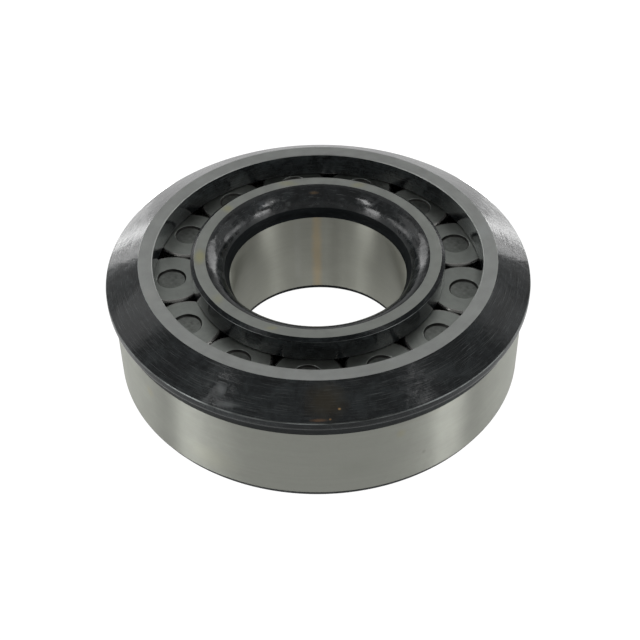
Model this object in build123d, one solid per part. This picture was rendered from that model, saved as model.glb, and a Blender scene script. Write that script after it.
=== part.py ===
from build123d import *
import math
import os

# Full-complement single-row cylindrical roller bearing, in millimetres.
# The frame's origin is on the bearing axis in the plane of the bottom faces; +Z is the axis
# and points to the side with the conical rim. "depth" is measured down from the top faces.

# ---------- boundary dimensions ----------
bore_radius = 19.0
outside_radius = 44.0
width = 27.5

# ---------- rollers ----------
roller_count = 13
roller_radius = 7.5
roller_length = 17.0
roller_top_depth = 5.5
roller_corner = 0.6
dimple_radius = 3.15
dimple_depth = 0.5
dimple_wall_run = 0.25
pitch_radius = 31.41
first_roller_angle = -94.4

# ---------- running clearances ----------
radial_clearance = 0.02
end_clearance = 0.03

# ---------- outer ring ----------
outer_flat_inner_radius = 35.0
outer_flat_outer_radius = 38.0
rim_radius = 45.25
rim_edge_depth = 4.5
rim_land_bottom_depth = 6.0
outside_top_depth = 8.9
outside_corner_radial = 0.7
outside_corner_axial = 1.35
outside_corner_arc = 1.5
rim_edge_round = 0.35
outer_lead_in = 0.8
outer_bottom_bore_radius = 39.1

# ---------- inner ring ----------
inner_flat_inner_radius = 23.8
inner_flat_outer_radius = 26.2
inner_flange_radius = 27.05
inner_flange_chamfer_depth = 0.6
mouth_neck_radius = 20.5
mouth_neck_depth = 2.7
mouth_depth = 5.7
mouth_arc_radius = 5.2
bore_bottom_chamfer = 0.8

# ---------- grinding relief beside each raceway ----------
relief_width = 1.0
relief_depth = 0.25

# ---------- retaining ring in the outer ring's groove ----------
retaining_thickness = 2.0
retaining_inner_radius = 35.8
retaining_outer_radius = 40.6
retaining_gap_width = 7.0
retaining_gap_angle = 90.0
retaining_hole_radius = 0.8
retaining_hole_circle = 37.5
retaining_hole_inset = 2.2
groove_bottom = 2.6
groove_width = 2.1
retaining_edge_chamfer = 0.25

# ---------- small breaks on the ground edges ----------
edge_break = 0.25

# ---------- derived positions ----------
roller_top = width - roller_top_depth
roller_bottom = roller_top - roller_length
inner_raceway_radius = pitch_radius - roller_radius - radial_clearance
outer_raceway_radius = pitch_radius + roller_radius + radial_clearance
flange_face_top = roller_top + end_clearance
flange_face_bottom = roller_bottom - end_clearance
groove_top = groove_bottom + groove_width


def at(radius, height):
    """A point of a half-section, which is drawn in the XZ plane."""
    return Vector(radius, 0, height)


def turned(*edges):
    """The solid made by turning a closed half-section about the Z axis."""
    return revolve(Face(Wire(edges)), Axis.Z)


def path(*points):
    """Straight edges through the points of a half-section."""
    return [Line(at(*a), at(*b)) for a, b in zip(points, points[1:])]


def corner_arc(start, end, radius):
    """A shallow arc between two points of a half-section, bulging to the left of its chord."""
    a, b = at(*start), at(*end)
    chord = b - a
    half = chord.length / 2
    sagitta = radius - math.sqrt(radius**2 - half**2)
    left = Vector(-chord.Z, 0, chord.X).normalized()
    return ThreePointArc(a, (a + b) * 0.5 + left * sagitta, b)


def make_outer_ring():
    """Outer ring: one flange at the top, a groove at the bottom, and the conical rim outside."""
    rim_round_start = (
        rim_radius - rim_edge_round,
        width - rim_edge_depth + rim_edge_round * math.tan(cone_angle()),
    )
    rim_round_end = (rim_radius, width - rim_edge_depth - rim_edge_round)
    corner_start = (outside_radius - outside_corner_radial, 0)
    corner_end = (outside_radius, outside_corner_axial)
    relief_radius = outer_raceway_radius + relief_depth
    outside = path(
        corner_end,
        (outside_radius, width - outside_top_depth),
        (rim_radius, width - rim_land_bottom_depth),
        rim_round_end,
    )
    inside = path(
        rim_round_start,
        (outer_flat_outer_radius, width),
        (outer_flat_inner_radius + edge_break, width),
        (outer_flat_inner_radius, width - edge_break),
        (outer_flat_inner_radius, flange_face_top + edge_break),
        (outer_flat_inner_radius + edge_break, flange_face_top),
        (relief_radius, flange_face_top),
        (relief_radius, flange_face_top - relief_width),
        (outer_raceway_radius, flange_face_top - relief_width - relief_depth),
        (outer_raceway_radius, groove_top),
        (retaining_outer_radius, groove_top),
        (retaining_outer_radius, groove_bottom),
        (outer_bottom_bore_radius, groove_bottom),
        (outer_bottom_bore_radius, outer_lead_in),
        (outer_bottom_bore_radius + outer_lead_in, 0),
        corner_start,
    )
    return turned(
        *outside,
        corner_arc(rim_round_start, rim_round_end, 2 * rim_edge_round),
        *inside,
        corner_arc(corner_end, corner_start, outside_corner_arc),
    )


def cone_angle():
    """The slope of the outer ring's conical face, from horizontal."""
    return math.atan2(rim_edge_depth, rim_radius - outer_flat_outer_radius)


def make_inner_ring():
    """Inner ring: a flange at each end, and a rounded, tapered mouth at the top of the bore."""
    neck = (mouth_neck_radius, width - mouth_neck_depth)
    lip = (inner_flat_inner_radius, width)
    relief_radius = inner_raceway_radius - relief_depth
    bore_side = path(
        (bore_radius + bore_bottom_chamfer, 0),
        (bore_radius, bore_bottom_chamfer),
        (bore_radius, width - mouth_depth),
        neck,
    )
    roller_side = path(
        lip,
        (inner_flat_outer_radius, width),
        (inner_flange_radius, width - inner_flange_chamfer_depth),
        (inner_flange_radius, flange_face_top + edge_break),
        (inner_flange_radius - edge_break, flange_face_top),
        (relief_radius, flange_face_top),
        (relief_radius, flange_face_top - relief_width),
        (inner_raceway_radius, flange_face_top - relief_width - relief_depth),
        (inner_raceway_radius, flange_face_bottom + relief_width + relief_depth),
        (relief_radius, flange_face_bottom + relief_width),
        (relief_radius, flange_face_bottom),
        (inner_flange_radius - edge_break, flange_face_bottom),
        (inner_flange_radius, flange_face_bottom - edge_break),
        (inner_flange_radius, inner_flange_chamfer_depth),
        (inner_flat_outer_radius, 0),
        (bore_radius + bore_bottom_chamfer, 0),
    )
    return turned(*bore_side, corner_arc(neck, lip, mouth_arc_radius), *roller_side)


def make_roller():
    """A roller on the Z axis, with rounded corners and a shallow dimple in each end."""
    half = roller_length / 2
    body = Cylinder(roller_radius, roller_length)
    body = fillet(body.edges().filter_by(GeomType.CIRCLE), roller_corner)
    for side in (1, -1):
        dimple = Cone(
            dimple_radius - dimple_wall_run,
            dimple_radius,
            dimple_depth,
            align=(Align.CENTER, Align.CENTER, Align.MAX),
        )
        if side < 0:
            dimple = Rot(180, 0, 0) * dimple
        body -= Pos(0, 0, side * half) * dimple
    return Pos(0, 0, roller_top - half) * body


def make_retaining_ring():
    """A flat open ring that snaps into the groove, with a plier hole beside each end."""
    seat = Align.CENTER, Align.CENTER, Align.MIN
    ring = Cylinder(retaining_outer_radius, retaining_thickness, align=seat)
    ring -= Cylinder(retaining_inner_radius, retaining_thickness, align=seat)
    inner_edges = ring.edges().filter_by(GeomType.CIRCLE).sort_by(SortBy.RADIUS)[:2]
    ring = chamfer(inner_edges, retaining_edge_chamfer)
    gap = Box(retaining_outer_radius, retaining_gap_width, retaining_thickness)
    ring -= Pos(retaining_outer_radius, 0, retaining_thickness / 2) * gap
    hole = Cylinder(retaining_hole_radius, retaining_thickness, align=seat)
    hole_y = retaining_gap_width / 2 + retaining_hole_inset
    hole_x = math.sqrt(retaining_hole_circle**2 - hole_y**2)
    for side in (1, -1):
        ring -= Pos(hole_x, side * hole_y, 0) * hole
    return Pos(0, 0, groove_bottom) * Rot(0, 0, retaining_gap_angle) * ring


def roller_place(index):
    """The place of one roller on the pitch circle; index 0 is the first one."""
    angle = first_roller_angle + index * 360 / roller_count
    return Rot(0, 0, angle) * Pos(pitch_radius, 0, 0)


parts = {
    "outer_ring": make_outer_ring(),
    "inner_ring": make_inner_ring(),
    "retaining_ring": make_retaining_ring(),
}
roller = make_roller()
for index in range(roller_count):
    parts[f"roller_{index + 1:02d}"] = roller_place(index) * roller

os.makedirs("parts", exist_ok=True)
for name, solid in parts.items():
    solid.label = name
    export_step(solid, f"parts/{name}.step")
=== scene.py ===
import math

import bpy
from mathutils import Matrix, Vector


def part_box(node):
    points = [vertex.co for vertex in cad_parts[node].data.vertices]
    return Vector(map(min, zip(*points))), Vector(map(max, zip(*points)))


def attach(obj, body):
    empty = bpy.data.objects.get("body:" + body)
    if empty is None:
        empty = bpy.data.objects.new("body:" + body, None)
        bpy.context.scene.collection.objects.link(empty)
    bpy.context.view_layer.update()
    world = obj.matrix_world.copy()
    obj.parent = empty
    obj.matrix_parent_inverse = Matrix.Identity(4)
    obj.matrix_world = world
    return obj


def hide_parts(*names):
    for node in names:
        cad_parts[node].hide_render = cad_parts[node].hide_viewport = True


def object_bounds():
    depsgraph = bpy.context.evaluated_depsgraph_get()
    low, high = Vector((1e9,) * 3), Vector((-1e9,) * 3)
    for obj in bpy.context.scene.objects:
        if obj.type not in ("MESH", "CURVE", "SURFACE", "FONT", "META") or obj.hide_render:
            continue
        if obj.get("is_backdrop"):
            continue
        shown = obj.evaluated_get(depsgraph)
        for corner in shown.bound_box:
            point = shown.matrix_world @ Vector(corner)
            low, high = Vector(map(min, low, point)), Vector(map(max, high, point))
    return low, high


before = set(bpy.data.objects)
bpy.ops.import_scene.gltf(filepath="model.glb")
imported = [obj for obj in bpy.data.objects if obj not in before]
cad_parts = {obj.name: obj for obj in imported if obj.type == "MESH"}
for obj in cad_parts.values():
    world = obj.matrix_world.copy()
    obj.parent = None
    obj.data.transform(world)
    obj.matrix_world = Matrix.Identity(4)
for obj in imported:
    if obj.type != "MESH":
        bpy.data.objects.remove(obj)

# A full-complement cylindrical roller bearing: two rings, thirteen rollers and a retaining ring.
# Profiles are written in millimetres in the frame's own axes and scaled to metres when built.

MM = 0.001
cad_low, cad_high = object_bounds()
width = cad_high.z / MM
rim_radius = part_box("outer_ring")[1].x / MM
flange_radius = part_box("inner_ring")[1].x / MM
outside_radius = 44.0
bore_radius = 19.0
outer_flat = (35.0, 38.0)
inner_flat = (23.8, 26.2)

ring_steps = 360
roller_steps = 96
arc_step = 9  # degrees, the most between two points of a rounded corner
tiny = 1e-6


# ---------- outlines and turned meshes ----------

def outline(corners):
    """The spans of a closed outline that runs anticlockwise in (radius, height).

    A corner is (radius, height, rounding, surface of the rounding, surface of the run after it).
    A span is (start, start normal, end, end normal, surface).
    """
    points = [Vector((c[0], c[1])) for c in corners]
    spans = []
    previous_end = None
    first_start = None
    for i, (_, _, rounding, round_surface, _) in enumerate(corners):
        here = points[i]
        back = (points[i - 1] - here).normalized()
        on = (points[(i + 1) % len(points)] - here).normalized()
        turn = math.pi - back.angle(on)
        reach = rounding * math.tan(turn / 2)
        start, end = here + back * reach, here + on * reach
        if previous_end is None:
            first_start = start
        elif (start - previous_end).length > tiny:
            spans.append(straight(previous_end, start, corners[i - 1][4]))
        if reach > tiny:
            spans += rounded(here, back, on, rounding, turn, round_surface)
        previous_end = end
    spans.append(straight(previous_end, first_start, corners[-1][4]))
    return spans


def straight(start, end, surface):
    """One span with the same normal all along."""
    along = (end - start).normalized()
    normal = Vector((along.y, -along.x))
    return start, normal, end, normal, surface


def rounded(here, back, on, rounding, turn, surface):
    """Spans round one corner, with normals that follow the arc."""
    convex = back.x * on.y - back.y * on.x < 0
    side = 1 if convex else -1
    centre = here + (back + on).normalized() * (rounding / math.cos(turn / 2))
    first = here + back * rounding * math.tan(turn / 2) - centre
    steps = max(2, math.ceil(math.degrees(turn) / arc_step))
    arms = []
    for k in range(steps + 1):
        angle = side * turn * k / steps
        arms.append(Vector((
            first.x * math.cos(angle) - first.y * math.sin(angle),
            first.x * math.sin(angle) + first.y * math.cos(angle),
        )))
    return [
        (centre + a, side * a.normalized(), centre + b, side * b.normalized(), surface)
        for a, b in zip(arms, arms[1:])
    ]


def turned(name, spans, surfaces, count=ring_steps, place=(0, 0, 0), spin=0.0):
    """A closed mesh made by turning an outline about Z, with exact normals and poles on the axis.

    Surfaces are the materials by name. Place is in metres, and spin is the angle of the first
    step in radians.
    """
    angles = [spin + 2 * math.pi * k / count for k in range(count)]
    turns = [(math.cos(a), math.sin(a)) for a in angles]
    names = list(dict.fromkeys(surface for *_, surface in spans))
    vertices, rings = [], []
    for start, _, _, _, _ in spans:
        spokes = turns if start.x > tiny else turns[:1]
        first = len(vertices)
        vertices += [(start.x * c * MM, start.x * s * MM, start.y * MM) for c, s in spokes]
        rings.append([first + k % len(spokes) for k in range(count)])
    faces, normals, slots = [], [], []
    for i, (start, start_normal, end, end_normal, surface) in enumerate(spans):
        if start.x < tiny and end.x < tiny:
            continue
        lower, upper = rings[i], rings[(i + 1) % len(spans)]
        for k in range(count):
            after = (k + 1) % count
            loops = [
                (lower[k], start_normal, k),
                (lower[after], start_normal, after),
                (upper[after], end_normal, after),
                (upper[k], end_normal, k),
            ]
            if start.x < tiny:
                loops.pop(1)
            elif end.x < tiny:
                loops.pop(2)
            faces.append([v for v, _, _ in loops])
            normals += [(n.x * turns[t][0], n.x * turns[t][1], n.y) for _, n, t in loops]
            slots.append(names.index(surface))
    mesh = bpy.data.meshes.new(name)
    mesh.from_pydata(vertices, [], faces)
    for surface in names:
        mesh.materials.append(surfaces[surface])
    mesh.polygons.foreach_set("material_index", slots)
    mesh.polygons.foreach_set("use_smooth", [True] * len(faces))
    mesh.update()
    mesh.normals_split_custom_set(normals)
    piece = bpy.data.objects.new(name, mesh)
    bpy.context.scene.collection.objects.link(piece)
    piece.location = place
    return piece


# ---------- node materials ----------

class Surface:
    """A material being built, with short calls for its nodes."""

    def __init__(self, name):
        self.material = bpy.data.materials.new(name)
        self.material.use_nodes = True
        self.tree = self.material.node_tree
        self.shader = next(n for n in self.tree.nodes if n.type == "BSDF_PRINCIPLED")

    def node(self, kind, settings=None, **values):
        """A new node. Values go to the input with that name, or to input 0 as _0, 1 as _1..."""
        made = self.tree.nodes.new(kind)
        for key, value in (settings or {}).items():
            setattr(made, key, value)
        for key, value in values.items():
            number = key[1:]
            self.feed(made.inputs[int(number) if number.isdigit() else key], value)
        return made

    def feed(self, socket, value):
        """Links another node's output to the socket, or sets a plain value on it."""
        if isinstance(value, bpy.types.NodeSocket):
            self.tree.links.new(value, socket)
        else:
            socket.default_value = value

    def math(self, operation, a, b=0.0, c=0.0):
        made = self.node("ShaderNodeMath", {"operation": operation}, _0=a, _1=b)
        if operation == "MULTIPLY_ADD":
            self.feed(made.inputs[2], c)
        return made.outputs[0]

    def vector(self, operation, a, b):
        made = self.node("ShaderNodeVectorMath", {"operation": operation}, _0=a, _1=b)
        return made.outputs[0]

    def join(self, x, y, z):
        return self.node("ShaderNodeCombineXYZ", X=x, Y=y, Z=z).outputs[0]

    def noise(self, vector, scale, detail=3.0, roughness=0.5, distortion=0.0):
        made = self.node(
            "ShaderNodeTexNoise", Vector=vector, Scale=scale, Detail=detail, Roughness=roughness,
            Distortion=distortion,
        )
        return made.outputs["Fac"]

    def ramp(self, value, low, high, to_low=0.0, to_high=1.0):
        """A clamped straight-line map of value."""
        made = self.node("ShaderNodeMapRange", {"clamp": True})
        for socket, v in zip(made.inputs, (value, low, high, to_low, to_high)):
            self.feed(socket, v)
        return made.outputs[0]

    def blend(self, amount, a, b):
        """Colour a where amount is 0 and colour b where it is 1."""
        made = self.node("ShaderNodeMix", {"data_type": "RGBA"}, _0=amount)
        for socket, v in ((made.inputs[6], a), (made.inputs[7], b)):
            self.feed(socket, v if isinstance(v, bpy.types.NodeSocket) else (*v, 1.0))
        return made.outputs[2]

    def bump(self, height, distance, normal=None):
        made = self.node("ShaderNodeBump", Height=height, Distance=distance)
        if normal is not None:
            self.feed(made.inputs["Normal"], normal)
        return made.outputs[0]

    def set(self, **values):
        """Feeds the shader's inputs, with _ for the spaces in their names."""
        for key, value in values.items():
            self.feed(self.shader.inputs[key.replace("_", " ")], value)

    def polar(self):
        """(unit direction x, unit direction y, radius, height, place) about the piece's Z axis.

        Radius and height are in mm, and place is the point itself in metres.
        """
        place = self.node("ShaderNodeTexCoord").outputs["Object"]
        x, y, z = self.node("ShaderNodeSeparateXYZ", Vector=place).outputs
        squares = self.math("MULTIPLY_ADD", x, x, self.math("MULTIPLY", y, y))
        radius = self.math("SQRT", squares)
        safe = self.math("MAXIMUM", radius, tiny)
        return (
            self.math("DIVIDE", x, safe),
            self.math("DIVIDE", y, safe),
            self.math("MULTIPLY", radius, 1 / MM),
            self.math("MULTIPLY", z, 1 / MM),
            place,
        )


def lines(s, cx, cy, across, seed, length, density, detail):
    """Noise drawn out along the turning direction: long round the axis, fine across it."""
    vector = s.join(
        s.math("MULTIPLY", cx, length),
        s.math("MULTIPLY", cy, length),
        s.math("MULTIPLY_ADD", across, density, seed),
    )
    return s.noise(vector, 1.0, detail)


def spot(s, place, centre, size):
    """1 inside a soft, ragged patch round a point and 0 outside. Centre and size are in mm."""
    core, ragged = 0.3, 0.6
    offset = s.vector("SUBTRACT", place, [v * MM for v in centre])
    scaled = s.vector("DIVIDE", offset, [v * MM for v in size])
    length = s.node("ShaderNodeVectorMath", {"operation": "LENGTH"}, _0=scaled).outputs["Value"]
    edge = s.noise(place, 700.0, detail=4.0, roughness=0.65)
    reach = s.math("MULTIPLY_ADD", edge, ragged, length)
    return s.ramp(reach, core + ragged / 2, 1.0 + ragged / 2, to_low=1.0, to_high=0.0)


def tinted(s, colour, marks, place):
    """The colour with each mark (centre, size, colour, strength) laid over it."""
    for centre, size, mark, strength in marks:
        amount = s.math("MULTIPLY", spot(s, place, centre, size), strength)
        colour = s.blend(amount, colour, mark)
    return colour


def ring_tangent(s, anisotropy):
    """Spreads highlights across the turning marks, which run round the axis."""
    s.set(Anisotropic=anisotropy, Anisotropic_Rotation=0.25)
    tangent = s.node("ShaderNodeTangent", {"direction_type": "RADIAL", "axis": "Z"})
    s.set(Tangent=tangent.outputs[0])


def ground_steel(name, across, tint, rough, seed=0.0, anisotropy=0.0, mottling=0.12,
                 grain=160.0, marks=()):
    """Bare ground steel: fine lines along the turning direction, faint clouds, and marks that are
    stains or painted reflections and painted highlights.

    Across says what the lines are stacked along, "height" or "radius". Grain is how fine the
    clouds are and mottling how strong.
    """
    line_height = 0.006 * MM
    cloud_range = (0.3, 0.7)
    fine_share, broad_share, base = 0.16, 0.10, 0.87
    line_haze, cloud_haze = 0.10, 0.08
    s = Surface(name)
    cx, cy, radius, height, place = s.polar()
    along = {"height": height, "radius": radius}[across]
    fine = lines(s, cx, cy, along, seed, length=2.0, density=9.0, detail=3.0)
    broad = lines(s, cx, cy, along, seed + 31.0, length=1.3, density=1.4, detail=2.0)
    clouds = s.noise(place, grain, detail=4.0, roughness=0.6)
    lined = s.math("MULTIPLY_ADD", broad, broad_share, base)
    lined = s.math("MULTIPLY_ADD", fine, fine_share, lined)
    clouded = s.ramp(clouds, *cloud_range, 1.0 - mottling / 2, 1.0 + mottling / 2)
    shade = s.math("MULTIPLY", lined, clouded)
    colour = s.node("ShaderNodeVectorMath", {"operation": "SCALE"}, _0=tint, Scale=shade).outputs[0]
    roughness = s.ramp(clouds, *cloud_range, rough - cloud_haze, rough)
    s.set(
        Base_Color=tinted(s, colour, marks, place),
        Metallic=1.0,
        Roughness=s.math("MULTIPLY_ADD", fine, line_haze, roughness),
        Normal=s.bump(fine, line_height),
    )
    if anisotropy:
        ring_tangent(s, anisotropy)
    return s.material


oxide_dark = (0.004, 0.005, 0.0055)
oxide_worn = (0.010, 0.012, 0.013)
oxide_veil = (0.036, 0.043, 0.045)
oxide_scratch = (0.06, 0.065, 0.065)


def black_oxide(name, across, rough, seed=0.0, depth=0.012, wave=0.03, lift=0.0, gloss=0.5,
                clouding=1.0, scuffing=0.7, haziness=1.0, patchy=0.04, dulling=None, marks=()):
    """Blackened turned steel: dark, glossy, cloudy, with turning marks round the axis.

    Across says what the marks are stacked along: "height", "radius" or "slope", down the cone.
    Depth and wave are the heights of the turning marks and of a ripple, in mm.
    Lift is added to every colour, and gloss is the level of the clear reflection.
    Clouding and scuffing are how much of the grey veil and of the light scratches shows.
    Haziness is how much the veil and the lines roughen the surface, and patchy how much the
    blotches do. Dulling is (height, height, roughness there, roughness there), also added.
    """
    s = Surface(name)
    cx, cy, radius, height, place = s.polar()
    slope_out, slope_up = 0.85, -0.53
    down_slope = s.math("MULTIPLY_ADD", radius, slope_out, s.math("MULTIPLY", height, slope_up))
    along = {"height": height, "radius": radius, "slope": down_slope}[across]
    moved = s.vector("ADD", place, (seed, 0.3, 0.1))
    fine = lines(s, cx, cy, along, seed, length=3.0, density=5.0, detail=4.0)
    broad = lines(s, cx, cy, along, seed + 17.0, length=2.2, density=0.9, detail=3.0)
    streaks = lines(s, cx, cy, along, seed + 71.0, length=9.0, density=11.0, detail=5.0)
    scratches = s.ramp(streaks, 0.57, 0.70)
    specks = s.noise(moved, 1400.0, detail=3.0, roughness=0.7)
    clouds = s.noise(moved, 110.0, detail=5.0, roughness=0.62, distortion=0.8)
    blotches = s.noise(moved, 330.0, detail=4.0, roughness=0.68, distortion=1.2)
    ripple = s.noise(moved, 420.0, detail=2.0)
    cloud_share, blotch_share, speck_share = 0.55, 0.40, 0.16
    haze = s.math("MULTIPLY_ADD", clouds, cloud_share, s.math("MULTIPLY", blotches, blotch_share))
    veil = s.ramp(s.math("MULTIPLY_ADD", specks, speck_share, haze), 0.50, 0.70)

    dark, worn, grey, pale = (
        [v + lift for v in c] for c in (oxide_dark, oxide_worn, oxide_veil, oxide_scratch)
    )
    colour = s.blend(s.ramp(broad, 0.35, 0.7), dark, worn)
    colour = s.blend(s.math("MULTIPLY", veil, clouding), colour, grey)
    colour = s.blend(s.math("MULTIPLY", scratches, scuffing), colour, pale)

    line_haze, veil_haze = 0.06 * haziness, 0.05 * haziness
    roughness = s.math("MULTIPLY_ADD", fine, line_haze, rough - line_haze / 2)
    roughness = s.math("MULTIPLY_ADD", veil, veil_haze, roughness)
    roughness = s.math("ADD", roughness, s.ramp(blotches, 0.47, 0.58, to_high=patchy))
    if dulling:
        roughness = s.math("ADD", roughness, s.ramp(height, *dulling))

    marked = s.bump(s.math("MULTIPLY_ADD", broad, 0.6, fine), depth * MM)
    s.set(
        Base_Color=tinted(s, colour, marks, place),
        Roughness=roughness,
        Normal=s.bump(ripple, wave * MM, normal=marked),
        IOR=1.5,
        Specular_IOR_Level=gloss,
    )
    ring_tangent(s, anisotropy=0.6)
    return s.material


# ---------- stains, worn places, painted reflections and painted highlights ---

def around(radius, azimuth, height):
    """A point on the bearing: azimuth 0 is the viewer's side and 90 the right."""
    a = math.radians(azimuth)
    return radius * math.sin(a), -radius * math.cos(a), height


# A mark is (centre, size along x, y and z in mm, colour, strength).
# Colour of a painted warm reflection on the front of the cone.
painted_warm_reflection = (0.048, 0.038, 0.020)
straw = (0.40, 0.39, 0.24)
cone_marks = [
    # The brown patch and the three orange specks near the rim are painted warm reflections.
    (around(41.5, 1.5, 25.3), (5.0, 5.0, 3.5), painted_warm_reflection, 0.45),
    (around(44.6, -0.5, 23.4), (2.0, 0.4, 0.4), (0.16, 0.09, 0.05), 0.5),
    (around(42.9, 4.9, 24.5), (0.35, 0.25, 0.3), (0.36, 0.22, 0.09), 0.8),
    (around(44.5, 2.4, 23.45), (0.3, 0.22, 0.3), (0.30, 0.17, 0.07), 0.7),
    # Grey scuffs round -24 to -27: partly scratches, partly a painted highlight.
    (around(44.2, -24, 23.7), (4.0, 1.0, 0.5), (0.12, 0.13, 0.13), 0.6),
    (around(42.0, -27, 25.0), (1.2, 2.2, 1.0), (0.09, 0.10, 0.10), 0.5),
]
mouth_marks = [
    # A painted warm reflection at the back of the mouth.
    (around(21.6, 181.5, 26.7), (1.6, 0.7, 0.5), (0.17, 0.11, 0.055), 0.6),
    # A painted highlight on the mouth, back left.
    (around(21.8, -146, 26.2), (2.0, 1.6, 1.0), (0.06, 0.07, 0.08), 0.4),
]
inner_flat_marks = [
    (around(sum(inner_flat) / 2, azimuth, width), (x, y, 1.0), straw, strength)
    for azimuth, x, y, strength in (
        (-88, 1.5, 3.0, 0.85),
        (-55, 1.4, 2.0, 0.4),
        (-128, 1.6, 1.6, 0.7),
        (-165, 3.0, 1.2, 0.5),
        (158, 2.2, 1.2, 0.5),
        (-22, 1.6, 0.8, 0.6),
    )
]
outer_flat_marks = [
    (around(sum(outer_flat) / 2, azimuth, width), (x, y, 1.0), colour, 0.5)
    for azimuth, x, y, colour in (
        (-70, 2.2, 2.6, (0.46, 0.465, 0.445)),
        (100, 2.0, 3.4, (0.44, 0.465, 0.46)),
        (20, 4.0, 1.4, (0.34, 0.355, 0.33)),
    )
]
side_marks = [
    (around(outside_radius, -52, 14.0), (1.6, 1.6, 1.8), (0.35, 0.33, 0.24), 0.45),
    (around(outside_radius, -30, 6.0), (7.0, 7.0, 4.0), (0.35, 0.35, 0.29), 0.45),
    (around(outside_radius, 8, 8.0), (9.0, 6.0, 3.5), (0.29, 0.30, 0.265), 0.5),
    (around(outside_radius, 21, 15.5), (1.3, 1.3, 1.5), (0.34, 0.32, 0.22), 0.45),
    (around(outside_radius, 28, 7.5), (0.6, 0.6, 0.6), (0.22, 0.22, 0.20), 0.7),
]
bore_marks = [
    # A painted warm reflection: an orange stripe down the far side of the bore.
    (around(bore_radius, 180.5, 12.0), (1.5, 2.0, 26.0), (0.46, 0.385, 0.26), 0.8),
    # A painted highlight: a lighter band down the bore.
    (around(bore_radius, 194, 12.0), (1.2, 1.2, 24.0), (0.38, 0.385, 0.35), 0.6),
    # A darker band down the bore.
    (around(bore_radius, 168, 12.0), (2.0, 1.5, 24.0), (0.27, 0.272, 0.24), 0.6),
]


# ---------- the surfaces ----------

materials = {
    "ground_side": ground_steel(
        "ground_side", "height", tint=(0.314, 0.321, 0.288), rough=0.42, anisotropy=1.0,
        mottling=0.24, grain=120.0, marks=side_marks,
    ),
    "outer_flat": ground_steel(
        "outer_flat", "radius", tint=(0.372, 0.384, 0.372), rough=0.46, seed=5.0,
        mottling=0.15, grain=380.0, marks=outer_flat_marks,
    ),
    "inner_flat": ground_steel(
        "inner_flat", "radius", tint=(0.322, 0.336, 0.315), rough=0.46, seed=6.0,
        mottling=0.15, grain=380.0, marks=inner_flat_marks,
    ),
    "ground_flat": ground_steel(
        "ground_flat", "radius", tint=(0.32, 0.33, 0.32), rough=0.46, seed=7.0,
    ),
    "ground_bore": ground_steel(
        "ground_bore", "height", tint=(0.355, 0.36, 0.318), rough=0.43, seed=9.0,
        anisotropy=1.0, marks=bore_marks,
    ),
    "raceway": ground_steel(
        "raceway", "height", tint=(0.30, 0.303, 0.288), rough=0.22, seed=13.0,
    ),
    "oxide_cone": black_oxide(
        "oxide_cone", "slope", rough=0.10, wave=0.035, lift=-0.001, clouding=0.5,
        scuffing=1.0, haziness=0.5, marks=cone_marks,
    ),
    "oxide_rim": black_oxide(
        "oxide_rim", "height", rough=0.22, seed=33.0, gloss=0.14, clouding=0.45,
    ),
    "oxide_wall": black_oxide(
        "oxide_wall", "height", rough=0.13, seed=3.0, wave=0.02, lift=0.004, scuffing=1.0,
    ),
    "oxide_mouth": black_oxide(
        "oxide_mouth", "slope", rough=0.12, seed=7.0, depth=0.006, wave=0.05, clouding=0.5,
        patchy=0.12, dulling=(width - 3.7, width - 2.3, 0.25, 0.0), marks=mouth_marks,
    ),
    "dark_corner": black_oxide(
        "dark_corner", "height", rough=0.45, seed=21.0, gloss=0.05, clouding=0.1, scuffing=0.3,
    ),
    "worn_edge": ground_steel(
        "worn_edge", "height", tint=(0.11, 0.117, 0.115), rough=0.4, seed=61.0,
        mottling=1.9, grain=90.0,
    ),
    "roller_side": ground_steel(
        "roller_side", "height", tint=(0.33, 0.33, 0.315), rough=0.26, seed=41.0, grain=450.0,
    ),
    "roller_end": ground_steel(
        "roller_end", "radius", tint=(0.325, 0.345, 0.323), rough=0.36, seed=43.0,
        mottling=0.2, grain=420.0,
    ),
    "roller_dimple": ground_steel(
        "roller_dimple", "radius", tint=(0.215, 0.228, 0.213), rough=0.42, seed=47.0,
        mottling=0.6, grain=800.0,
    ),
    "dimple_wall": ground_steel(
        "dimple_wall", "height", tint=(0.07, 0.07, 0.066), rough=0.5, seed=49.0, mottling=0.3,
    ),
    "spring_steel": black_oxide("spring_steel", "radius", rough=0.35, seed=51.0),
}


# ---------- outer ring ----------

roller_low, roller_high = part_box("roller_01")
roller_top = roller_high.z / MM
roller_bottom = roller_low.z / MM
roller_radius = (roller_high.x - roller_low.x) / MM / 2
retaining_low, retaining_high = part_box("retaining_ring")
retaining_radius = retaining_high.x / MM

end_clearance = 0.03
groove_slack = 0.1
relief = 0.25
relief_width = 1.0
ramp_width = relief_width + relief
edge_break = 0.1
lead_in = 0.8

outer_raceway = 38.93
rim_edge = width - 4.5
rim_land_low = width - 6.0
outside_top = width - 8.9
outside_corner = (0.7, 1.35)
flange_face = roller_top + end_clearance
groove_low = retaining_low.z / MM
groove_high = retaining_high.z / MM + groove_slack
land_bore = 39.1

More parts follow.
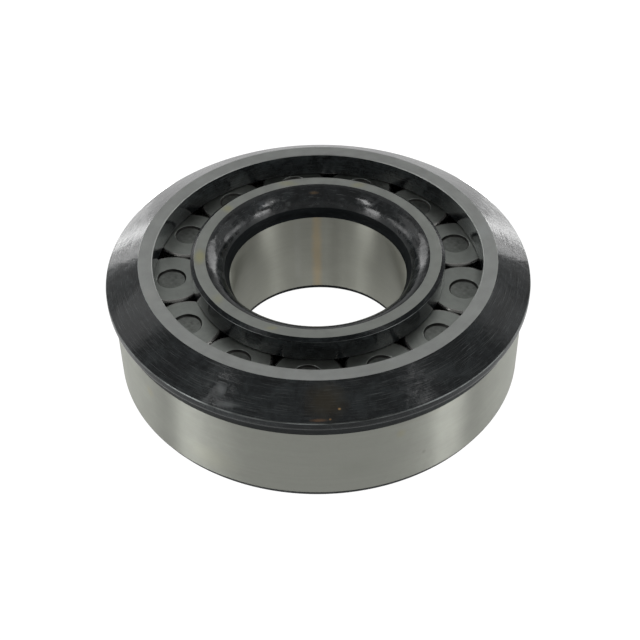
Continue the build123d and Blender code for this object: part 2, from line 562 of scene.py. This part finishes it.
outer_corners = [
    (outside_radius - outside_corner[0], 0, 0.3, "dark_corner", "dark_corner"),
    (outside_radius, outside_corner[1], 0.6, "dark_corner", "ground_side"),
    (outside_radius, outside_top, 0.12, "dark_corner", "dark_corner"),
    (rim_radius, rim_land_low, 1.6, "oxide_rim", "oxide_rim"),
    (rim_radius, rim_edge, 0.3, "worn_edge", "oxide_cone"),
    (outer_flat[1], width, edge_break, "outer_flat", "outer_flat"),
    (outer_flat[0], width, 0.22, "outer_flat", "oxide_wall"),
    (outer_flat[0], flange_face, 0.25, "oxide_wall", "ground_flat"),
    (outer_raceway + relief, flange_face, edge_break, "raceway", "raceway"),
    (outer_raceway + relief, flange_face - relief_width, edge_break, "raceway", "raceway"),
    (outer_raceway, flange_face - ramp_width, edge_break, "raceway", "raceway"),
    (outer_raceway, groove_high, 0.08, "raceway", "dark_corner"),
    (retaining_radius, groove_high, 0.05, "dark_corner", "dark_corner"),
    (retaining_radius, groove_low, 0.05, "dark_corner", "dark_corner"),
    (land_bore, groove_low, 0.08, "dark_corner", "oxide_wall"),
    (land_bore, lead_in, 0.15, "oxide_wall", "dark_corner"),
    (land_bore + lead_in, 0, 0.15, "dark_corner", "ground_flat"),
]
outer_ring = turned("outer_ring_turned", outline(outer_corners), materials)
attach(outer_ring, "outer_ring")
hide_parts("outer_ring")


# ---------- inner ring ----------

inner_raceway = 23.89
mouth_knee = (21.54, width - 0.61)
mouth_round = 5.2
mouth_low = width - 5.7
neck = (bore_radius + 1.0, mouth_low + 2.0)
bore_black_top = 1.45
flange_chamfer = (0.85, 0.6)
lower_face = roller_bottom - end_clearance

inner_corners = [
    (flange_radius - flange_chamfer[0], 0, 0.2, "ground_flat", "dark_corner"),
    (flange_radius, flange_chamfer[1], 0.2, "dark_corner", "oxide_wall"),
    (flange_radius, lower_face, 0.25, "oxide_wall", "ground_flat"),
    (inner_raceway - relief, lower_face, edge_break, "raceway", "raceway"),
    (inner_raceway - relief, lower_face + relief_width, edge_break, "raceway", "raceway"),
    (inner_raceway, lower_face + ramp_width, edge_break, "raceway", "raceway"),
    (inner_raceway, flange_face - ramp_width, edge_break, "raceway", "raceway"),
    (inner_raceway - relief, flange_face - relief_width, edge_break, "raceway", "raceway"),
    (inner_raceway - relief, flange_face, edge_break, "raceway", "ground_flat"),
    (flange_radius, flange_face, 0.25, "oxide_wall", "oxide_wall"),
    (flange_radius, width - flange_chamfer[1], 0.15, "worn_edge", "oxide_rim"),
    (inner_flat[1], width, edge_break, "inner_flat", "inner_flat"),
    (inner_flat[0], width, 0.12, "oxide_mouth", "oxide_mouth"),
    (*mouth_knee, mouth_round, "oxide_mouth", "oxide_mouth"),
    (*neck, 0, "dark_corner", "dark_corner"),
    (bore_radius, mouth_low, 0.2, "dark_corner", "ground_bore"),
    (bore_radius, bore_black_top, 0, "dark_corner", "dark_corner"),
    (bore_radius, lead_in, 0.12, "dark_corner", "dark_corner"),
    (bore_radius + lead_in, 0, 0.12, "dark_corner", "ground_flat"),
]
inner_ring = turned("inner_ring_turned", outline(inner_corners), materials)
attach(inner_ring, "inner_ring")
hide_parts("inner_ring")


# ---------- rollers and retaining ring ----------

def roller_corners():
    """The outline of a roller about its own axis, from the middle of one end to the other."""
    half = (roller_top - roller_bottom) / 2
    dimple, depth, wall = 3.15, 0.5, 0.25
    corner, lip, foot = 0.6, 0.1, 0.15
    lower = [
        (0, -half + depth, 0, "roller_dimple", "roller_dimple"),
        (dimple - wall, -half + depth, foot, "dimple_wall", "dimple_wall"),
        (dimple, -half, lip, "roller_end", "roller_end"),
        (roller_radius, -half, corner, "roller_side", "roller_side"),
    ]
    upper = [
        (roller_radius, half, corner, "roller_side", "roller_end"),
        (dimple, half, lip, "roller_end", "dimple_wall"),
        (dimple - wall, half - depth, foot, "dimple_wall", "roller_dimple"),
        (0, half - depth, 0, "roller_dimple", "roller_dimple"),
    ]
    return lower + upper


roller_spin = 2.4  # radians; each roller's facets start at another angle
roller_nodes = sorted(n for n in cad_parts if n.startswith("roller_"))
roller_outline = outline(roller_corners())
for index, node in enumerate(roller_nodes):
    low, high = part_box(node)
    piece = turned(node + "_turned", roller_outline, materials, roller_steps,
                   (low + high) / 2, index * roller_spin)
    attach(piece, "roller_set" if index == 0 else node)
    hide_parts(node)
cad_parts["retaining_ring"].data.materials.clear()
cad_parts["retaining_ring"].data.materials.append(materials["spring_steel"])


# ---------- stage, light and camera ----------

white = (1.0, 1.0, 1.0, 1.0)
studio_radius = 1.5


def make_floor():
    """A plain pale light table, with two pools of painted light glowing behind, where background
    lamps would fall.

    It is white where it is seen and glows a little less behind the bearing, where it only lights
    it. It lies a hair under the bearing and is clear from below, so that the underside shows.
    """
    half = 6.0
    height = -0.05 * MM
    floor_glow, behind_glow, pool_glow = 0.96, 0.58, 2.1
    mesh = bpy.data.meshes.new("floor")
    square = [(-half, -half), (half, -half), (half, half), (-half, half)]
    mesh.from_pydata([(x, y, height) for x, y in square], [], [(0, 1, 2, 3)])
    floor = bpy.data.objects.new("floor", mesh)
    bpy.context.scene.collection.objects.link(floor)

    pale = Surface("floor")
    place = pale.node("ShaderNodeTexCoord").outputs["Object"]
    x, y, _ = pale.node("ShaderNodeSeparateXYZ", Vector=place).outputs
    azimuth = pale.math("ARCTAN2", pale.math("ABSOLUTE", x), pale.math("MULTIPLY", y, -1.0))
    distance = pale.math("SQRT", pale.math("MULTIPLY_ADD", x, x, pale.math("MULTIPLY", y, y)))
    beyond = pale.ramp(distance, 45 * MM, 60 * MM)
    near_side = pale.ramp(azimuth, math.radians(138), math.radians(142))
    far_side = pale.ramp(azimuth, math.radians(147), math.radians(149.5), to_low=1.0, to_high=0.0)
    middle = pale.ramp(azimuth, math.radians(152), math.radians(166))
    pool = pale.math("MULTIPLY", pale.math("MULTIPLY", near_side, far_side), beyond)
    behind = pale.math("MULTIPLY", middle, beyond)
    glow = pale.ramp(behind, 0.0, 1.0, to_low=floor_glow, to_high=behind_glow)
    lit = pale.math("MULTIPLY_ADD", pool, pool_glow, glow)
    seen = pale.node("ShaderNodeLightPath").outputs["Is Camera Ray"]
    pale.set(
        Base_Color=(0.12, 0.12, 0.12, 1.0),
        Roughness=0.9,
        Specular_IOR_Level=0.1,
        Emission_Color=white,
        Emission_Strength=pale.math("MAXIMUM", seen, lit),
    )
    below = pale.node("ShaderNodeNewGeometry").outputs["Backfacing"]
    clear = pale.node("ShaderNodeBsdfTransparent").outputs[0]
    one_way = pale.node("ShaderNodeMixShader", _0=below, _1=pale.shader.outputs[0], _2=clear)
    surface_output = next(n for n in pale.tree.nodes if n.type == "OUTPUT_MATERIAL")
    pale.feed(surface_output.inputs["Surface"], one_way.outputs[0])
    mesh.materials.append(pale.material)
    floor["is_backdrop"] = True


def make_world():
    """A light tent: pale near the horizon, dimmer overhead, and white where it shows behind."""
    horizon, overhead = 0.72, 0.24
    dim_from = 0.4  # the sine of the elevation where the tent is as dim as overhead
    world = bpy.data.worlds.new("tent")
    world.use_nodes = True
    tree = world.node_tree
    direction = tree.nodes.new("ShaderNodeTexCoord").outputs["Generated"]
    parts = tree.nodes.new("ShaderNodeSeparateXYZ")
    tree.links.new(direction, parts.inputs[0])
    fall = tree.nodes.new("ShaderNodeMapRange")
    for socket, value in zip(list(fall.inputs)[1:5], (0.0, dim_from, horizon, overhead)):
        socket.default_value = value
    tree.links.new(parts.outputs["Z"], fall.inputs["Value"])
    strength = tree.nodes.new("ShaderNodeMath")
    strength.operation = "MAXIMUM"
    tree.links.new(fall.outputs[0], strength.inputs[0])
    seen = tree.nodes.new("ShaderNodeLightPath").outputs["Is Camera Ray"]
    tree.links.new(seen, strength.inputs[1])
    background = next(n for n in tree.nodes if n.type == "BACKGROUND")
    background.inputs["Color"].default_value = white
    tree.links.new(strength.outputs[0], background.inputs["Strength"])
    bpy.context.scene.world = world


def make_softbox(name, azimuth, elevation, wide, tall, radiance):
    """A soft panel aimed at the object, its size in degrees as seen from there.

    Azimuth 0 is the viewer's side and 90 the right.
    """
    a, e = math.radians(azimuth), math.radians(elevation)
    out = Vector((math.sin(a) * math.cos(e), -math.cos(a) * math.cos(e), math.sin(e)))
    light = bpy.data.lights.new(name, "AREA")
    light.shape = "RECTANGLE"
    light.size = 2 * studio_radius * math.tan(math.radians(wide) / 2) * math.cos(e)
    light.size_y = 2 * studio_radius * math.tan(math.radians(tall) / 2)
    light.energy = radiance * math.pi * light.size * light.size_y
    lamp = bpy.data.objects.new(name, light)
    lamp.location = Vector((0, 0, cad_high.z / 2)) + out * studio_radius
    lamp.rotation_euler = out.to_track_quat("Z", "Y").to_euler()
    lamp.visible_camera = False
    bpy.context.scene.collection.objects.link(lamp)


def make_lights():
    """Seven pairs of soft panels, and one wide panel high up behind.

    A pair is (name, azimuth, elevation, wide, tall, radiance, how much the left one gains on it
    and the right one loses).
    """
    pairs = [
        ("key", 64, 12, 16, 22, 5.6, 0.0),
        ("high", 62, 46, 11, 16, 6.6, 0.6),
        ("upper", 84, 61, 12, 12, 0.5, 0.0),
        ("shoulder", 122, 34, 26, 26, 0.55, 0.15),
        ("card", 102, 9, 34, 18, 1.8, 0.0),
        ("rear", 146.5, 22, 17, 32, 2.6, 0.0),
        ("low", 146, 1.5, 12, 3, 6.0, 0.0),
    ]
    for side, sign in (("left", -1), ("right", 1)):
        for name, azimuth, elevation, wide, tall, radiance, uneven in pairs:
            make_softbox(f"{side}_{name}", sign * azimuth, elevation, wide, tall,
                         radiance - uneven * sign)
    make_softbox("overhead", 180, 58, 80, 36, 0.25)


def make_camera():
    """A long lens above the front of the bearing, turned a little so that it sits as seen."""
    distance = 6.2474 * rim_radius * MM
    elevation = math.radians(40.055)
    pan, tilt, roll = math.radians(0.052), math.radians(-2.918), math.radians(-0.9275)
    out = Vector((0, -math.cos(elevation), math.sin(elevation)))
    ahead = -out
    right = Vector((1, 0, 0))
    up = right.cross(ahead)
    ahead = (ahead + right * pan + up * tilt).normalized()
    right = (right - ahead * right.dot(ahead)).normalized()
    up = right.cross(ahead)
    across = right * math.cos(roll) + up * math.sin(roll)
    upward = -right * math.sin(roll) + up * math.cos(roll)
    camera = bpy.data.objects.new("camera", bpy.data.cameras.new("camera"))
    turn = Matrix((across, upward, -ahead)).transposed().to_4x4()
    place = out * distance + Vector((0, 0, cad_high.z))
    camera.matrix_world = Matrix.Translation(place) @ turn
    camera.data.sensor_width = 36.0
    camera.data.lens = 74.92
    bpy.context.scene.collection.objects.link(camera)
    bpy.context.scene.camera = camera


make_floor()
make_world()
make_lights()
make_camera()
bpy.context.scene.view_settings.view_transform = "Standard"

low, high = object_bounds()
